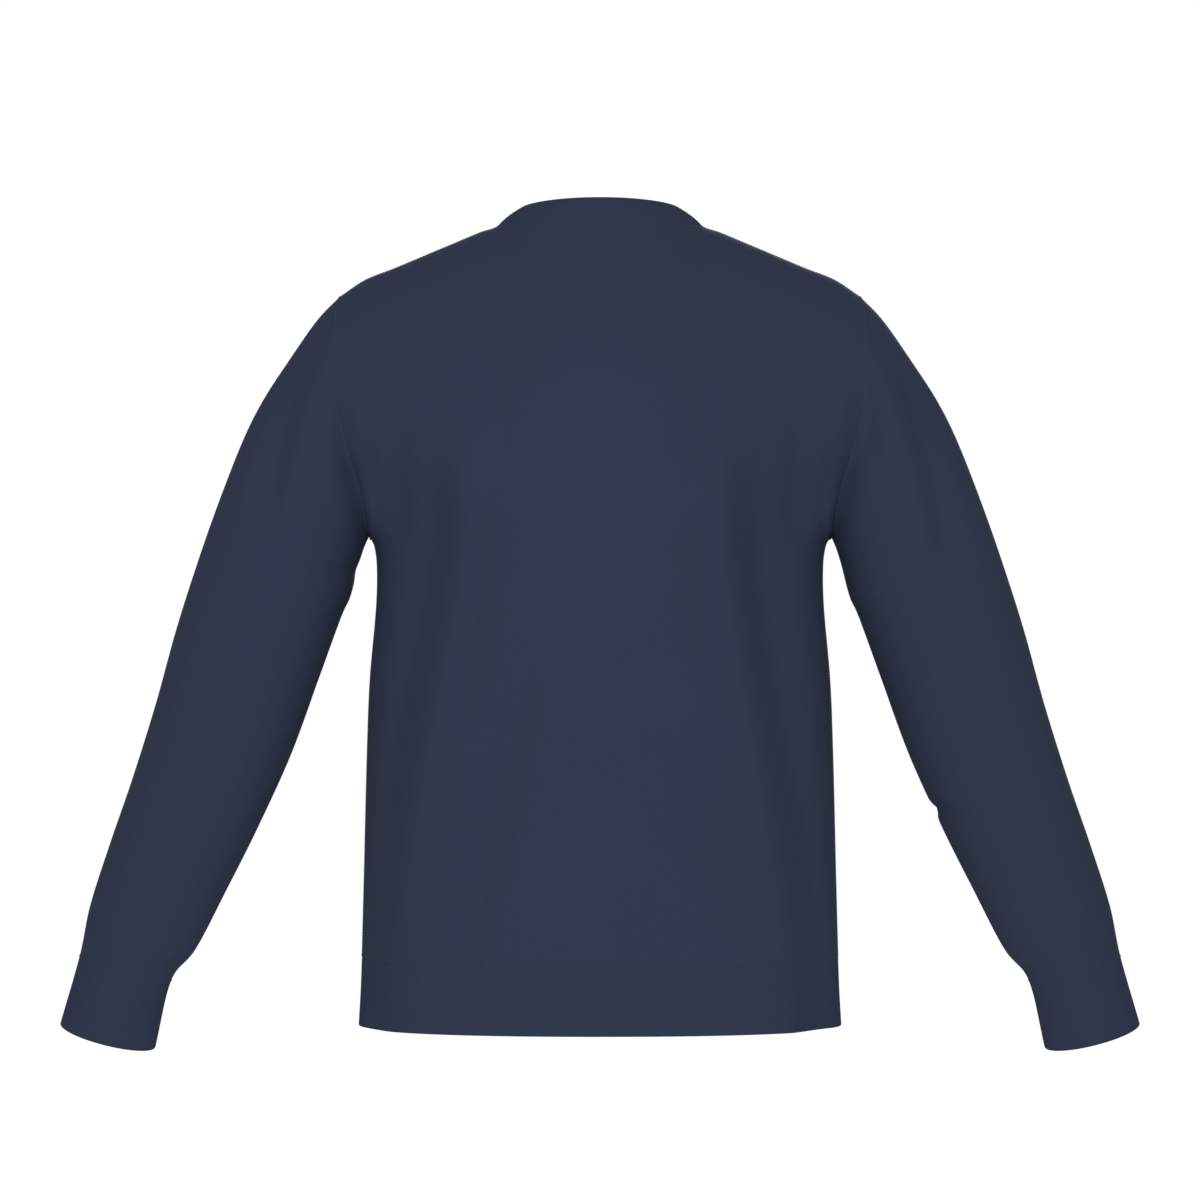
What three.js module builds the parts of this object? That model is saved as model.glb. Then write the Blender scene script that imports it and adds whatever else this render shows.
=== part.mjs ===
// Crewneck sweater in fine knit, filled out as if worn, with the arms hanging a little forward.
// Millimetres, +Z up. The garment's front faces -Y and its left side is at +X.
// The origin is the middle of the neck opening, level with the high shoulder points.
import * as THREE from "three";

// ---- Driving dimensions -------------------------------------------------------------------
const WALL = 2; // thickness of the cloth
const SEAM_GAP = 0.3; // clearance between two pieces along their seam
const NECK_HALF_WIDTH = 87; // centre line to high shoulder point
const SHOULDER_Y = -4; // the shoulder seam lies a little forward of the side seam
const UNDERARM_Z = -264;
const UNDERARM_DIP = 24; // how far the section through the underarm sinks towards the centre
const HEM_SEAM_Z = -620;
const HEM_EDGE_Z = -678;
const TORSO_SQUARENESS = 2.3; // exponent of the torso's superellipse sections
const NECK_BACK_Z = -4; // neckline seam on the centre line of the back
const NECK_FRONT_Z = -80; // and of the front
const COLLAR_BULGE = 1.5; // how far the collar rib stands out between seam and rim

// The free rim of the collar rib, which leans in over the neck.
const RIM = { halfWidth: 68, sideZ: 14, backY: 50, backZ: 20, frontY: -72, frontZ: -57 };

// ---- Resolution ---------------------------------------------------------------------------
const NECK_COLUMNS = 5; // from the centre line to the high shoulder point
const SHOULDER_COLUMNS = 7; // from there to the armhole
const HALF_COLUMNS = NECK_COLUMNS + SHOULDER_COLUMNS;
const YOKE_ROWS = 10; // from the underarm to the shoulder
const TORSO_ROWS = 9; // from the hem seam to the underarm
const RIB_ROWS = 3; // along each band of rib
const SLEEVE_SIDES = 2 * YOKE_ROWS;
const SHARPEST_MITRE = 0.8; // cosine of the sharpest half angle that two walls are mitred at
const SHOULDER_CROWDING = 1.5; // above 1, the yoke's rows crowd towards the rounded shoulder

// ---- Outlines -----------------------------------------------------------------------------
// Half width of the torso up to the underarm, and above it the width that its rounding aims at.
const TORSO_WIDTH = [
  { z: -678, x: 205 },
  { z: -641, x: 203 },
  { z: -556, x: 200.6 },
  { z: -450, x: 198 },
  { z: -386, x: 195.5 },
  { z: -322, x: 190 },
  { z: -288, x: 189.5 },
  { z: -271, x: 192 },
  { z: -264, x: 196 },
  { z: -240, x: 209 },
  { z: -213, x: 228 },
  { z: -188, x: 260 },
  { z: -162, x: 304 },
  { z: -130, x: 380 },
  { z: -100, x: 490 },
  { z: -60, x: 700 },
  { z: 0, x: 1000 },
];

// Depth of the back and the front by the distance below the ridge that the shoulder seam follows.
const PROFILE = [
  { below: 0, back: -4, front: -4 },
  { below: 12, back: 29, front: -27 },
  { below: 49, back: 58, front: -51 },
  { below: 105, back: 84, front: -77 },
  { below: 175, back: 106, front: -107 },
  { below: 245, back: 117, front: -128 },
  { below: 345, back: 119, front: -138 },
  { below: 495, back: 116, front: -131 },
  { below: 723, back: 117, front: -125 },
];

// The ridge along the shoulder seam. Inside the neck it only places the profile.
const SHOULDER_LINE = [
  { x: 0, z: 45 },
  { x: 43, z: 32 },
  { x: 87, z: 0 },
  { x: 101, z: -5 },
  { x: 125, z: -15 },
  { x: 150, z: -25.5 },
  { x: 175, z: -36 },
  { x: 200, z: -46 },
  { x: 221, z: -60 },
];

// The armhole seam by the angle around it: 0 at the shoulder point, 180 at the underarm.
const ARMHOLE_X = [
  { angle: 0, back: 221, front: 221 },
  { angle: 40, back: 223, front: 214 },
  { angle: 82, back: 222, front: 203 },
  { angle: 101, back: 215, front: 199 },
  { angle: 131, back: 202, front: 196.5 },
  { angle: 180, back: 196, front: 196 },
];
const ARMHOLE = { middleZ: -162, halfHeight: 102 };

// Sections of the left sleeve, from the armhole to the cuff seam. (outX, outZ) is the outermost
// point of a section and (inX, inZ) the innermost; y is the middle of its depth; drop is how far
// its rearmost point hangs below the middle; cap is how much of the armhole's outline it keeps.
const SLEEVE_SECTIONS = [
  { outX: 221, outZ: -60, inX: 196, inZ: -264, y: -2, halfDepth: 60, drop: 0, cap: 1 },
  { outX: 240, outZ: -80, inX: 197.5, inZ: -266.5, y: -1, halfDepth: 61, drop: 0, cap: 0.8 },
  { outX: 264, outZ: -114, inX: 199.5, inZ: -271, y: 0, halfDepth: 61.5, drop: 0, cap: 0.5 },
  { outX: 286, outZ: -148, inX: 202, inZ: -278, y: 1, halfDepth: 61, drop: 0, cap: 0.25 },
  { outX: 303, outZ: -182, inX: 205.5, inZ: -290, y: 2, halfDepth: 60.5, drop: 0, cap: 0.1 },
  { outX: 323, outZ: -233, inX: 212, inZ: -315, y: 3, halfDepth: 60, drop: 0, cap: 0 },
  { outX: 341, outZ: -284, inX: 220, inZ: -333, y: 3, halfDepth: 59, drop: 0, cap: 0 },
  { outX: 360, outZ: -343, inX: 239, inZ: -385, y: 1, halfDepth: 57, drop: 1, cap: 0 },
  { outX: 378, outZ: -407, inX: 263, inZ: -450, y: -3, halfDepth: 54, drop: 2, cap: 0 },
  { outX: 399, outZ: -472, inX: 292, inZ: -513, y: -10, halfDepth: 50, drop: 3.5, cap: 0 },
  { outX: 418, outZ: -525, inX: 317.5, inZ: -563, y: -18, halfDepth: 46, drop: 4.5, cap: 0 },
  { outX: 436, outZ: -578.5, inX: 345.5, inZ: -616, y: -28, halfDepth: 42, drop: 5, cap: 0 },
  { outX: 446, outZ: -622.5, inX: 367.5, inZ: -644, y: -37, halfDepth: 38, drop: 5, cap: 0 },
];
const CUFF_EDGE = { outX: 463.5, outZ: -681, inX: 382, inZ: -702, y: -46, halfDepth: 36, drop: 5, cap: 0 };

// ---- Folds --------------------------------------------------------------------------------
// Each fold is a soft trough down the cloth through three points. inner and outer are its half
// widths on the sides towards and away from the centre line, and depth is how far it sinks.
const BACK_FOLDS = [
  { xTop: 126, zTop: -180, xMid: 146, zMid: -400, xEnd: 187, zEnd: -614, inner: 17, outer: 38, depth: 9 },
  { xTop: -112, zTop: -180, xMid: -134, zMid: -400, xEnd: -175, zEnd: -614, inner: 17, outer: 40, depth: 9 },
  { xTop: 168, zTop: -160, xMid: 169, zMid: -240, xEnd: 172, zEnd: -330, inner: 12, outer: 12, depth: 4 },
  { xTop: -166, zTop: -160, xMid: -167, zMid: -240, xEnd: -171, zEnd: -335, inner: 12, outer: 13, depth: 4 },
  { xTop: 66, zTop: -330, xMid: 84, zMid: -450, xEnd: 100, zEnd: -590, inner: 24, outer: 26, depth: 3 },
];
const FRONT_FOLDS = [
  { xTop: 118, zTop: -190, xMid: 132, zMid: -390, xEnd: 160, zEnd: -612, inner: 20, outer: 40, depth: 7 },
  { xTop: -124, zTop: -196, xMid: -139, zMid: -400, xEnd: -170, zEnd: -610, inner: 18, outer: 38, depth: 7.5 },
  { xTop: -52, zTop: -360, xMid: -62, zMid: -470, xEnd: -80, zEnd: -590, inner: 26, outer: 26, depth: 3 },
];
const SLEEVE_FOLDS = {
  leftBack: [
    { xTop: 266, zTop: -118, xMid: 272, zMid: -180, xEnd: 276, zEnd: -250, inner: 13, outer: 15, depth: 5 },
    { xTop: 300, zTop: -300, xMid: 322, zMid: -380, xEnd: 338, zEnd: -460, inner: 17, outer: 20, depth: 3 },
  ],
  leftFront: [
    { xTop: 250, zTop: -110, xMid: 262, zMid: -180, xEnd: 272, zEnd: -260, inner: 14, outer: 16, depth: 5 },
    { xTop: 316, zTop: -330, xMid: 300, zMid: -380, xEnd: 280, zEnd: -430, inner: 17, outer: 17, depth: 4 },
  ],
  rightBack: [
    { xTop: -268, zTop: -120, xMid: -286, zMid: -225, xEnd: -296, zEnd: -330, inner: 13, outer: 15, depth: 5 },
    { xTop: -306, zTop: -350, xMid: -326, zMid: -420, xEnd: -340, zEnd: -490, inner: 17, outer: 18, depth: 3 },
  ],
  rightFront: [
    { xTop: -252, zTop: -116, xMid: -268, zMid: -190, xEnd: -280, zEnd: -280, inner: 14, outer: 16, depth: 5 },
    { xTop: -318, zTop: -345, xMid: -302, zMid: -395, xEnd: -286, zEnd: -440, inner: 17, outer: 17, depth: 4 },
  ],
};
const FOLD_RAMP = 0.3; // share of a fold's length over which it comes in and dies out

// ---- Curves -------------------------------------------------------------------------------
const radians = THREE.MathUtils.degToRad;
const lerp = THREE.MathUtils.lerp;
const smooth = (t) => THREE.MathUtils.smoothstep(t, 0, 1);

// A smooth curve through a table: the value of column `out` where column `key` is `at`.
function through(rows, key, out, at) {
  const last = rows.length - 1;
  let i = 0;
  while (i < last - 1 && at > rows[i + 1][key]) i += 1;
  const slope = (k) => {
    const a = rows[Math.max(k - 1, 0)];
    const b = rows[Math.min(k + 1, last)];
    return (b[out] - a[out]) / (b[key] - a[key]);
  };
  const span = rows[i + 1][key] - rows[i][key];
  const t = THREE.MathUtils.clamp((at - rows[i][key]) / span, 0, 1);
  const rise = t * t * (3 - 2 * t);
  const leave = t * (1 - t) * (1 - t) * span * slope(i);
  const arrive = t * t * (1 - t) * span * slope(i + 1);
  return lerp(rows[i][out], rows[i + 1][out], rise) + leave - arrive;
}

// The parameter of `curve` at a share `u` of its length, for 0 <= u <= 1.
function evenly(curve, samples = 400) {
  const lengths = [0];
  let before = curve(0);
  for (let k = 1; k <= samples; k += 1) {
    const point = curve(k / samples);
    lengths.push(lengths[k - 1] + point.distanceTo(before));
    before = point;
  }
  return (u) => {
    const wanted = u * lengths[samples];
    let k = 1;
    while (k < samples && lengths[k] < wanted) k += 1;
    return (k - 1 + (wanted - lengths[k - 1]) / (lengths[k] - lengths[k - 1])) / samples;
  };
}

// ---- Torso --------------------------------------------------------------------------------
// The line of the sides and shoulders, where the back and the front meet.
function ridgeY(z) {
  return SHOULDER_Y * smooth((z - UNDERARM_Z) / -UNDERARM_Z);
}

// Where the back or the front lies at x and z. The centre line's profile follows the shoulder down
// and is rounded off towards the sides. `face` is "back" or "front".
function torsoPoint(x, z, face) {
  const below = Math.max(through(SHOULDER_LINE, "x", "z", x) - z, 0);
  const roots = PROFILE.map((row) => ({ root: Math.sqrt(row.below), y: row[face] }));
  const profile = through(roots, "root", "y", Math.sqrt(below));
  const share = Math.min(x / through(TORSO_WIDTH, "z", "x", z), 1);
  const rounding = (1 - share ** TORSO_SQUARENESS) ** (1 / TORSO_SQUARENESS);
  return new THREE.Vector3(x, lerp(ridgeY(z), profile, rounding), z);
}

// A point of a section: across is an angle, 0 on the centre line and 90 on the side seam.
function sectionPoint(across, z, face) {
  const width = through(TORSO_WIDTH, "z", "x", z);
  return torsoPoint(width * Math.sin(radians(across)) ** (2 / TORSO_SQUARENESS), z, face);
}
const evenAcross = evenly((u) => sectionPoint(90 * u, UNDERARM_Z, "back"));

// The neckline seam: turn is 0 on the centre line and 1 at the high shoulder point.
function neckPoint(turn, face) {
  const angle = radians(90 * turn);
  const z = (face === "back" ? NECK_BACK_Z : NECK_FRONT_Z) * Math.cos(angle);
  if (turn === 1) return new THREE.Vector3(NECK_HALF_WIDTH, SHOULDER_Y, 0);
  return torsoPoint(NECK_HALF_WIDTH * Math.sin(angle), z, face);
}

function shoulderPoint(along) {
  const x = lerp(NECK_HALF_WIDTH, ARMHOLE_X[0].back, along);
  return new THREE.Vector3(x, SHOULDER_Y, through(SHOULDER_LINE, "x", "z", x));
}

// The armhole seam of the left side; the angle runs from the shoulder over the back.
function armholePoint(angle) {
  const face = angle <= 180 ? "back" : "front";
  const turned = angle <= 180 ? angle : 360 - angle;
  const x = through(ARMHOLE_X, "angle", face, turned);
  const z = ARMHOLE.middleZ + ARMHOLE.halfHeight * Math.cos(radians(turned));
  if (turned === 0) return shoulderPoint(1);
  if (turned === 180) return new THREE.Vector3(x, ridgeY(z), z);
  return torsoPoint(x, z, face);
}

function underarmZ(across) {
  return UNDERARM_Z - UNDERARM_DIP * (1 - across ** 8);
}

// The upper part of a panel fills the four-sided space between the centre line, the armhole, the
// section through the underarm and the top edge. across and up run from 0 to 1.
function yokePoint(across, up, face) {
  const neckShare = NECK_COLUMNS / HALF_COLUMNS;
  const top = (u) => (u <= neckShare
    ? neckPoint(u / neckShare, face)
    : shoulderPoint((u - neckShare) / (1 - neckShare)));
  const bottom = (u) => sectionPoint(90 * evenAcross(u), underarmZ(u), face);
  const armhole = armholePoint(face === "back" ? 180 * (1 - up) : 180 * (1 + up));
  if (up === 1) return top(across);
  if (across === 1) return armhole;
  const rise = 1 - (1 - up) ** SHOULDER_CROWDING;
  const beyond = (edge) => edge(across).sub(edge(0).lerp(edge(1), across));
  const point = bottom(0).lerp(top(0), rise).lerp(armhole, across);
  point.addScaledVector(beyond(bottom), 1 - rise).addScaledVector(beyond(top), rise);
  return torsoPoint(point.x, point.z, face);
}

// How far the folds sink the cloth at x and z.
function foldDepth(folds, x, z) {
  let depth = 0;
  for (const fold of folds) {
    const along = (fold.zTop - z) / (fold.zTop - fold.zEnd);
    if (along <= 0 || along >= 1) continue;
    const bend = (fold.zTop - fold.zMid) / (fold.zTop - fold.zEnd);
    const straight = lerp(fold.xTop, fold.xEnd, along);
    const bow = fold.xMid - lerp(fold.xTop, fold.xEnd, bend);
    const middle = straight + bow * along * (1 - along) / (bend * (1 - bend));
    const away = (x - middle) * Math.sign(fold.xMid);
    const width = away < 0 ? fold.inner : fold.outer;
    const swell = smooth(along / FOLD_RAMP) * smooth((1 - along) / FOLD_RAMP);
    depth += fold.depth * swell * Math.exp(-((away / width) ** 2));
  }
  return depth;
}

// Rows of points from the hem seam up to the neckline and shoulders, from -X to +X.
function panelGrid(face) {
  const rows = [];
  for (let j = 0; j <= TORSO_ROWS + YOKE_ROWS; j += 1) {
    const row = [];
    for (let i = -HALF_COLUMNS; i <= HALF_COLUMNS; i += 1) {
      const u = Math.abs(i) / HALF_COLUMNS;
      const z = lerp(HEM_SEAM_Z, underarmZ(u), j / TORSO_ROWS);
      const point = j < TORSO_ROWS
        ? sectionPoint(90 * evenAcross(u), z, face)
        : yokePoint(u, (j - TORSO_ROWS) / YOKE_ROWS, face);
      point.x *= Math.sign(i);
      row.push(point);
    }
    rows.push(row);
  }
  return rows;
}

// ---- Sleeves and ribs ---------------------------------------------------------------------
// A point of the plain oval of a sleeve section; the angle runs from its outermost point over
// the back.
function ovalPoint(section, angle) {
  const out = (1 + Math.cos(radians(angle))) / 2;
  const rear = Math.sin(radians(angle));
  return new THREE.Vector3(
    lerp(section.inX, section.outX, out),
    section.y + section.halfDepth * rear,
    lerp(section.inZ, section.outZ, out) - section.drop * rear,
  );
}

function sleeveRing(section, side) {
  const ring = [];
  for (let k = 0; k < SLEEVE_SIDES; k += 1) {
    const angle = 360 * k / SLEEVE_SIDES;
    const seam = armholePoint(angle);
    const excess = seam.clone().sub(ovalPoint(SLEEVE_SECTIONS[0], angle));
    const point = section === SLEEVE_SECTIONS[0]
      ? seam
      : ovalPoint(section, angle).addScaledVector(excess, section.cap);
    point.x *= side;
    ring.push(point);
  }
  return ring;
}

function between(a, b, t) {
  const section = {};
  for (const key of Object.keys(a)) section[key] = lerp(a[key], b[key], t);
  return section;
}

function bandSteps() {
  return Array.from({ length: RIB_ROWS + 1 }, (_, j) => j / RIB_ROWS);
}

function cuffGrid(side) {
  const seam = SLEEVE_SECTIONS[SLEEVE_SECTIONS.length - 1];
  return bandSteps().map((t) => sleeveRing(t === 0 ? seam : between(seam, CUFF_EDGE, t), side));
}

// Goes once round the garment: `quarter(u, face)` gives a point at u = 0 on the centre line and
// 1 at the side, and is mirrored for the -X half.
function ringOfQuarters(quarter, columns) {
  const ring = [];
  for (let k = 0; k < 4 * columns; k += 1) {
    const face = k <= 2 * columns ? "back" : "front";
    const column = face === "back" ? k - columns : 3 * columns - k;
    const point = quarter(Math.abs(column) / columns, face);
    point.x *= Math.sign(column);
    ring.push(point);
  }
  return ring;
}

function hemGrid() {
  return bandSteps().map((t) => {
    const z = lerp(HEM_SEAM_Z, HEM_EDGE_Z, t);
    return ringOfQuarters((u, face) => sectionPoint(90 * evenAcross(u), z, face), HALF_COLUMNS);
  });
}

function rimPoint(turn, face) {
  const angle = radians(90 * turn);
  const y = face === "back" ? RIM.backY : RIM.frontY;
  const z = face === "back" ? RIM.backZ : RIM.frontZ;
  const rise = Math.cos(angle);
  return new THREE.Vector3(
    RIM.halfWidth * Math.sin(angle),
    lerp(SHOULDER_Y, y, rise),
    lerp(RIM.sideZ, z, rise),
  );
}

function collarGrid() {
  return bandSteps().map((t) => ringOfQuarters((turn, face) => {
    const point = neckPoint(turn, face);
    const outward = new THREE.Vector3(point.x, point.y - SHOULDER_Y, NECK_HALF_WIDTH / 2).normalize();
    point.lerp(rimPoint(turn, face), t);
    return point.addScaledVector(outward, COLLAR_BULGE * 4 * t * (1 - t));
  }, NECK_COLUMNS));
}

// ---- Walls --------------------------------------------------------------------------------
// Visits each four-cornered cell of a grid, and closes the ring where the rows are rings.
function eachCell(grid, ring, visit) {
  const columns = grid[0].length;
  for (let j = 0; j + 1 < grid.length; j += 1) {
    for (let i = 0; i + (ring ? 0 : 1) < columns; i += 1) {
      visit([j, i], [j, (i + 1) % columns], [j + 1, (i + 1) % columns], [j + 1, i]);
    }
  }
}

const keyOf = (point) => point.toArray().map((value) => Math.round(value * 1000)).join();

// Adds each cell's outward direction to the sums kept for its corners. Pieces that share a seam
// share its sums, so that their walls meet along the seam in one mitre.
function addDirections(piece, sums) {
  const at = ([j, i]) => piece.grid[j][i];
  eachCell(piece.grid, piece.ring, (a, b, c, d) => {
    const direction = at(c).clone().sub(at(a)).cross(at(d).clone().sub(at(b)));
    direction.multiplyScalar(piece.outward);
    for (const corner of [a, b, c, d]) {
      const key = keyOf(at(corner));
      if (!sums.has(key)) sums.set(key, new THREE.Vector3());
      sums.get(key).add(direction);
    }
  });
}

// Sinks the folds into a grid, and leaves its seams where they are.
function pressFolds(piece) {
  if (!piece.folds) return;
  const sums = new Map();
  addDirections(piece, sums);
  const last = piece.grid.length - 1;
  const columns = piece.grid[0].length - 1;
  const moved = piece.grid.map((row, j) => row.map((point, i) => {
    const fromEdge = piece.ring ? Math.min(j, last - j) : Math.min(j, last - j, i, columns - i);
    const depth = piece.folds(point) * Math.min(fromEdge / 2, 1);
    return point.clone().addScaledVector(sums.get(keyOf(point)).clone().normalize(), -depth);
  }));
  piece.grid = moved;
}

// The closed wall of a piece: the grid is its outer face, and the inner face lies WALL inside it.
// At a seam the wall follows the shared mitre, or its own direction where the two pieces meet in
// a crease too sharp for one, as they do at the underarm.
function wallMesh(piece, sums) {
  const { grid, ring, seams, outward } = piece;
  const own = new Map();
  addDirections(piece, own);
  const outwardAt = (point) => {
    const alone = own.get(keyOf(point)).clone().normalize();
    const shared = sums.get(keyOf(point)).clone().normalize();
    return alone.dot(shared) < SHARPEST_MITRE ? alone : shared;
  };
  const last = grid.length - 1;
  const columns = grid[0].length;
  const positions = [];
  const indices = [];
  const away = (j, i, toJ, toI) => grid[toJ][toI].clone().sub(grid[j][i]).setLength(SEAM_GAP / 2);
  const number = (inner, [j, i]) => ((inner ? 1 : 0) * (last + 1) + j) * columns + i;
  for (const inner of [false, true]) {
    grid.forEach((row, j) => row.forEach((point, i) => {
      const place = point.clone();
      if (j === 0 && seams.first) place.add(away(j, i, 1, i));
      if (j === last && seams.last) place.add(away(j, i, last - 1, i));
      if (!ring && i === 0) place.add(away(j, i, j, 1));
      if (!ring && i === columns - 1) place.add(away(j, i, j, columns - 2));
      if (inner) place.addScaledVector(outwardAt(point), -WALL);
      positions.push(...place.toArray());
    }));
  }
  const quad = (a, b, c, d) => {
    if (outward > 0) indices.push(a, b, c, a, c, d);
    else indices.push(a, c, b, a, d, c);
  };
  eachCell(grid, ring, (a, b, c, d) => {
    quad(...[a, b, c, d].map((corner) => number(false, corner)));
    quad(...[d, c, b, a].map((corner) => number(true, corner)));
  });
  // Both pieces at a seam cut each cell of their edge along the same diagonal.
  const rim = (a, b) => {
    const corners = [number(false, b), number(false, a), number(true, a), number(true, b)];
    const turned = keyOf(grid[a[0]][a[1]]) < keyOf(grid[b[0]][b[1]]);
    if (turned) corners.push(corners.shift());
    quad(...corners);
  };
  for (let i = 0; i + (ring ? 0 : 1) < columns; i += 1) {
    const next = (i + 1) % columns;
    rim([0, i], [0, next]);
    rim([last, next], [last, i]);
  }
  if (!ring) {
    for (let j = 0; j < last; j += 1) {
      rim([j + 1, 0], [j, 0]);
      rim([j, columns - 1], [j + 1, columns - 1]);
    }
  }
  const geometry = new THREE.BufferGeometry();
  geometry.setAttribute("position", new THREE.Float32BufferAttribute(positions, 3));
  geometry.setIndex(indices);
  geometry.computeVertexNormals();
  const mesh = new THREE.Mesh(geometry, piece.material);
  mesh.name = piece.name;
  return mesh;
}

// ---- The garment --------------------------------------------------------------------------
const jersey = new THREE.MeshStandardMaterial({ color: 0x333b50, roughness: 0.92, metalness: 0 });
const rib = new THREE.MeshStandardMaterial({ color: 0x323a4f, roughness: 0.94, metalness: 0 });

function panel(face, folds) {
  return {
    name: face,
    material: jersey,
    grid: panelGrid(face),
    ring: false,
    outward: face === "back" ? -1 : 1,
    seams: { first: true, last: true },
    folds: (point) => foldDepth(folds, point.x, point.z),
  };
}

function sleeve(name, side, backFolds, frontFolds) {
  return {
    name,
    material: jersey,
    grid: SLEEVE_SECTIONS.map((section) => sleeveRing(section, side)),
    ring: true,
    outward: -side,
    seams: { first: true, last: true },
    folds: (point) => foldDepth(point.y > 0 ? backFolds : frontFolds, point.x, point.z),
  };
}

function band(name, grid, outward) {
  return { name, material: rib, grid, ring: true, outward, seams: { first: true, last: false } };
}

const LEFT = 1;
const RIGHT = -1;
const pieces = [
  panel("back", BACK_FOLDS),
  panel("front", FRONT_FOLDS),
  sleeve("sleeve_left", LEFT, SLEEVE_FOLDS.leftBack, SLEEVE_FOLDS.leftFront),
  sleeve("sleeve_right", RIGHT, SLEEVE_FOLDS.rightBack, SLEEVE_FOLDS.rightFront),
  band("collar_rib", collarGrid(), -1),
  band("hem_rib", hemGrid(), 1),
  band("cuff_left", cuffGrid(LEFT), -1),
  band("cuff_right", cuffGrid(RIGHT), 1),
];

const sums = new Map();
for (const piece of pieces) {
  pressFolds(piece);
  addDirections(piece, sums);
}

const sweater = new THREE.Group();
for (const piece of pieces) sweater.add(wallMesh(piece, sums));

export default sweater;
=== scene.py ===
"""Looks of a navy crewneck sweater in fine knit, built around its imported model.

The garment is filled out as if worn. Its front faces -Y, its left side is at +X, and the origin is
the middle of the neck opening, level with the high shoulder points.
"""

import math

import bpy
import numpy as np
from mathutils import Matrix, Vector


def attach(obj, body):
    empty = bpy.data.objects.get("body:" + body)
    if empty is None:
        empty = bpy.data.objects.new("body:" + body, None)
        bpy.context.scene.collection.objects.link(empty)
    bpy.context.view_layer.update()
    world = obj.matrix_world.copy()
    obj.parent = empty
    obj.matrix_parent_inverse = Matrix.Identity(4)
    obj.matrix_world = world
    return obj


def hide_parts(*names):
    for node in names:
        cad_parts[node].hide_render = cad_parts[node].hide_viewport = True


bl_info = {
    "name": "Crewneck Sweater",
    "version": (1, 0, 0),
    "blender": (4, 5, 0),
    "location": "3D View > Sidebar > Sweater",
    "description": "Knits a crewneck sweater's panels, sleeves and ribs around its frame",
    "category": "Object",
}

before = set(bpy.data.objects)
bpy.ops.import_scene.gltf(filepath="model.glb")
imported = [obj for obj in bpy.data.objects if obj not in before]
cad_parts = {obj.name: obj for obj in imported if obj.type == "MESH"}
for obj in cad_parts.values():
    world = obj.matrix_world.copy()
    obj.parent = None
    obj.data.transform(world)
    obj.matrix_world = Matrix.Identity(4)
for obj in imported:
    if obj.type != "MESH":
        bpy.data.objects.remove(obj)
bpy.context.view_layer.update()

MM = 0.001
MIRROR = np.array([-1.0, 1.0, 1.0])

# ---- The cut, in millimetres -------------------------------------------------
NECK_HALF_WIDTH = 87.0
SHOULDER_Y = -4.0
UNDERARM_Z = -264.0
UNDERARM_DIP = 24.0  # how far a panel's rows dip at the centre line, level with the underarm
HEM_SEAM_Z = -620.0
HEM_EDGE_Z = -678.0
TORSO_SQUARENESS = 2.3  # 2 is an ellipse seen from above
NECK_Z = {"back": -4.0, "front": -80.0}
SHOULDER_CROWDING = 1.5  # how much closer a panel's rows lie at the shoulders
ARMHOLE_MIDDLE_Z = -162.0
ARMHOLE_HALF_HEIGHT = 102.0

# Half width of the torso, and above the underarm the width that its rounding aims at.
TORSO_WIDTH = {
    "z": (-678, -641, -556, -450, -386, -322, -288, -271, -264, -240, -213, -188, -162, -130, -100,
          -60, 0),
    "x": (205, 203, 200.6, 198, 195.5, 190, 189.5, 192, 196, 209, 228, 260, 304, 380, 490, 700,
          1000),
}
# Depth of the back and the front below the ridge of the shoulders.
PROFILE = {
    "below": (0, 12, 49, 105, 175, 245, 345, 495, 723),
    "back": (-4, 29, 58, 84, 106, 117, 119, 116, 117),
    "front": (-4, -27, -51, -77, -107, -128, -138, -131, -125),
}
SHOULDER_LINE = {
    "x": (0, 43, 87, 101, 125, 150, 175, 200, 221),
    "z": (45, 32, 0, -5, -15, -25.5, -36, -46, -60),
}
ARMHOLE_X = {
    "angle": (0, 40, 82, 101, 131, 180),
    "back": (221, 223, 222, 215, 202, 196),
    "front": (221, 214, 203, 199, 196.5, 196),
}
# Sections of the left sleeve from the armhole to the cuff seam, and the cuff's free edge.
SLEEVE = {
    "out_x": (221, 240, 264, 286, 303, 323, 341, 360, 378, 399, 418, 436, 446, 463.5),
    "out_z": (-60, -80, -114, -148, -182, -233, -284, -343, -407, -472, -525, -578.5, -622.5, -681),
    "in_x": (196, 197.5, 199.5, 202, 205.5, 212, 220, 239, 263, 292, 317.5, 345.5, 367.5, 382),
    "in_z": (-264, -266.5, -271, -278, -290, -315, -333, -385, -450, -513, -563, -616, -644, -702),
    "y": (-2, -1, 0, 1, 2, 3, 3, 1, -3, -10, -18, -28, -37, -46),
    "half_depth": (60, 61, 61.5, 61, 60.5, 60, 59, 57, 54, 50, 46, 42, 38, 36),
    "drop": (0, 0, 0, 0, 0, 0, 0, 1, 2, 3.5, 4.5, 5, 5, 5),
    "cap": (1, 0.8, 0.5, 0.25, 0.1, 0, 0, 0, 0, 0, 0, 0, 0, 0),
}
CUFF_SEAM_SECTION = 12
CUFF_EDGE_SECTION = 13
# The collar's free edge; back and front are its middle (y, z).
RIM = {"half_width": 68, "side_z": 14, "back": (50, 20), "front": (-72, -57)}
COLLAR_BULGE = 1.5  # how far the collar's middle stands out
COLLAR_RISE = 43.5  # how steeply up it stands out: the rise over the reach from the neck's middle

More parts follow.
